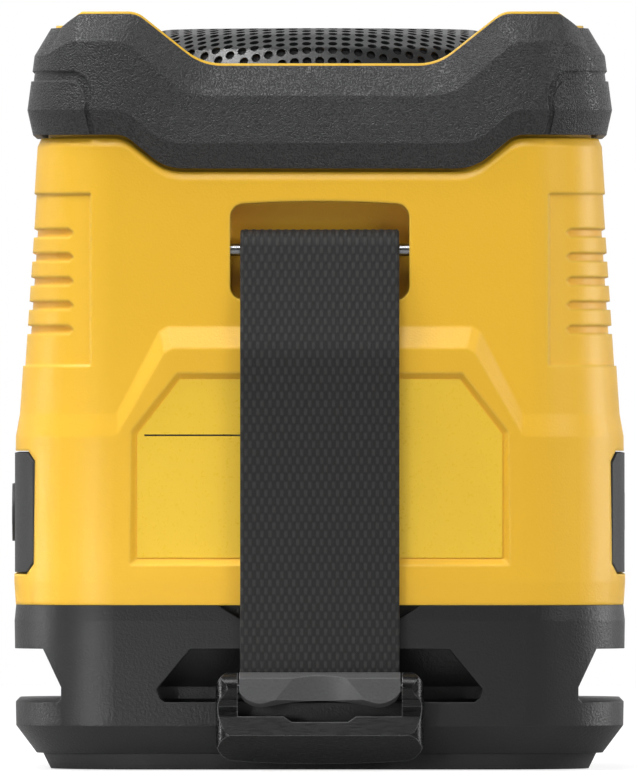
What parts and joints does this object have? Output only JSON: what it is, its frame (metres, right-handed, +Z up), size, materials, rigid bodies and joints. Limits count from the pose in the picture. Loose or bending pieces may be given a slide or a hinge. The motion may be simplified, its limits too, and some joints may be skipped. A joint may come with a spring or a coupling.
{
  "type": "jobsite bluetooth speaker",
  "caption": "Rugged portable speaker: tapered housing, raised-corner rubber crown, domed round grille on top, cut-away base and a webbing strap that hooks under the base.",
  "frame": {"origin": "centre of the foot pad's underside, where the speaker stands", "axes": "+Z up through the grille; the strap and latch are on the -Y side, the keys on -X, the charging socket on +X"},
  "size_m": [0.0985, 0.1041, 0.1211],
  "materials": {
    "yellow_abs": "moulded, fine satin texture",
    "black_rubber": "moulded, leather-like grain",
    "black_moulding": "moulded, satin",
    "grille_steel": "perforated, powder coated",
    "webbing": "woven polyester",
    "pin_steel": "drawn, bright",
    "latch_plastic": "moulded, semi-gloss",
    "label_film": "plain film, bare",
    "pad_rubber": "moulded, satin",
    "key_rubber": "moulded, satin",
    "light_pipe": "clear, polished",
    "board": "solder mask",
    "component_plastic": "moulded",
    "socket_steel": "stamped, plated",
    "basket_steel": "pressed, coated",
    "foam": "closed-cell foam",
    "zinc_steel": "zinc plated",
    "ferrite": "sintered",
    "copper": "wound enamelled wire",
    "paper": "pressed pulp",
    "former": "rolled foil",
    "treated_cloth": "resin-treated weave",
    "cell_wrap": "shrink film"
  },
  "bodies": {
    "body": {"housing_shell": "yellow_abs", "top_bumper": "black_rubber", "grille": "grille_steel", "base_shell": "black_moulding", "base_seal": "foam", "foot_pad": "black_rubber", "case_screws": "zinc_steel", "strap_pin": "pin_steel", "rating_label": "label_film", "key_pad": "pad_rubber", "status_light": "light_pipe", "button_board": "board", "tact_switches": "component_plastic", "port_pad": "pad_rubber", "usb_socket": "socket_steel", "usb_tongue": "component_plastic", "charge_board": "board", "driver_basket": "basket_steel", "driver_screws": "zinc_steel", "driver_top_plate": "zinc_steel", "driver_magnet": "ferrite", "driver_yoke": "zinc_steel", "driver_surround": "black_rubber", "driver_spider": "treated_cloth", "battery_cells": "cell_wrap", "battery_cradle": "black_moulding", "main_board": "board", "board_parts": "component_plastic", "board_screws": "zinc_steel"},
    "strap": {"strap_webbing": "webbing", "strap_end": "latch_plastic", "latch_pin": "pin_steel"},
    "latch": {"latch_frame": "latch_plastic"},
    "port_cover": {"port_cover": "pad_rubber"},
    "cone": {"coil_former": "former", "voice_coil": "copper", "driver_cone": "paper", "dust_cap": "paper"},
    "power_key": {"power_key": "key_rubber"},
    "pairing_key": {"pairing_key": "key_rubber"},
    "volume_down_key": {"volume_down_key": "key_rubber"},
    "play_key": {"play_key": "key_rubber"},
    "volume_up_key": {"volume_up_key": "key_rubber"}
  },
  "joints": [
    {"name": "strap_swing", "type": "hinge", "parent": "body", "child": "strap", "pos_m": [0, -0.044, 0.083], "axis": [-1, 0, 0], "range_deg": [0, 110]},
    {"name": "latch_swing", "type": "hinge", "parent": "strap", "child": "latch", "pos_m": [0, -0.0524, 0.0131], "axis": [-1, 0, 0], "range_deg": [0, 95]},
    {"name": "port_cover_swing", "type": "hinge", "parent": "body", "child": "port_cover", "pos_m": [0.0479, -0.012, 0.04105], "axis": [0, 0, -1], "range_deg": [0, 90]},
    {"name": "cone_travel", "type": "slide", "parent": "body", "child": "cone", "axis": [0, 0, 1], "range_m": [-0.002, 0.002], "stiffness_N_per_m": 900, "deforming": ["driver_surround", "driver_spider"]},
    {"name": "power_key_press", "type": "slide", "parent": "body", "child": "power_key", "axis": [1, 0, 0], "range_m": [0, 0.0006], "stiffness_N_per_m": 2500},
    {"name": "pairing_key_press", "type": "slide", "parent": "body", "child": "pairing_key", "axis": [1, 0, 0], "range_m": [0, 0.0006], "stiffness_N_per_m": 2500},
    {"name": "volume_down_key_press", "type": "slide", "parent": "body", "child": "volume_down_key", "axis": [1, 0, 0], "range_m": [0, 0.0006], "stiffness_N_per_m": 2500},
    {"name": "play_key_press", "type": "slide", "parent": "body", "child": "play_key", "axis": [1, 0, 0], "range_m": [0, 0.0006], "stiffness_N_per_m": 2500},
    {"name": "volume_up_key_press", "type": "slide", "parent": "body", "child": "volume_up_key", "axis": [1, 0, 0], "range_m": [0, 0.0006], "stiffness_N_per_m": 2500}
  ]
}
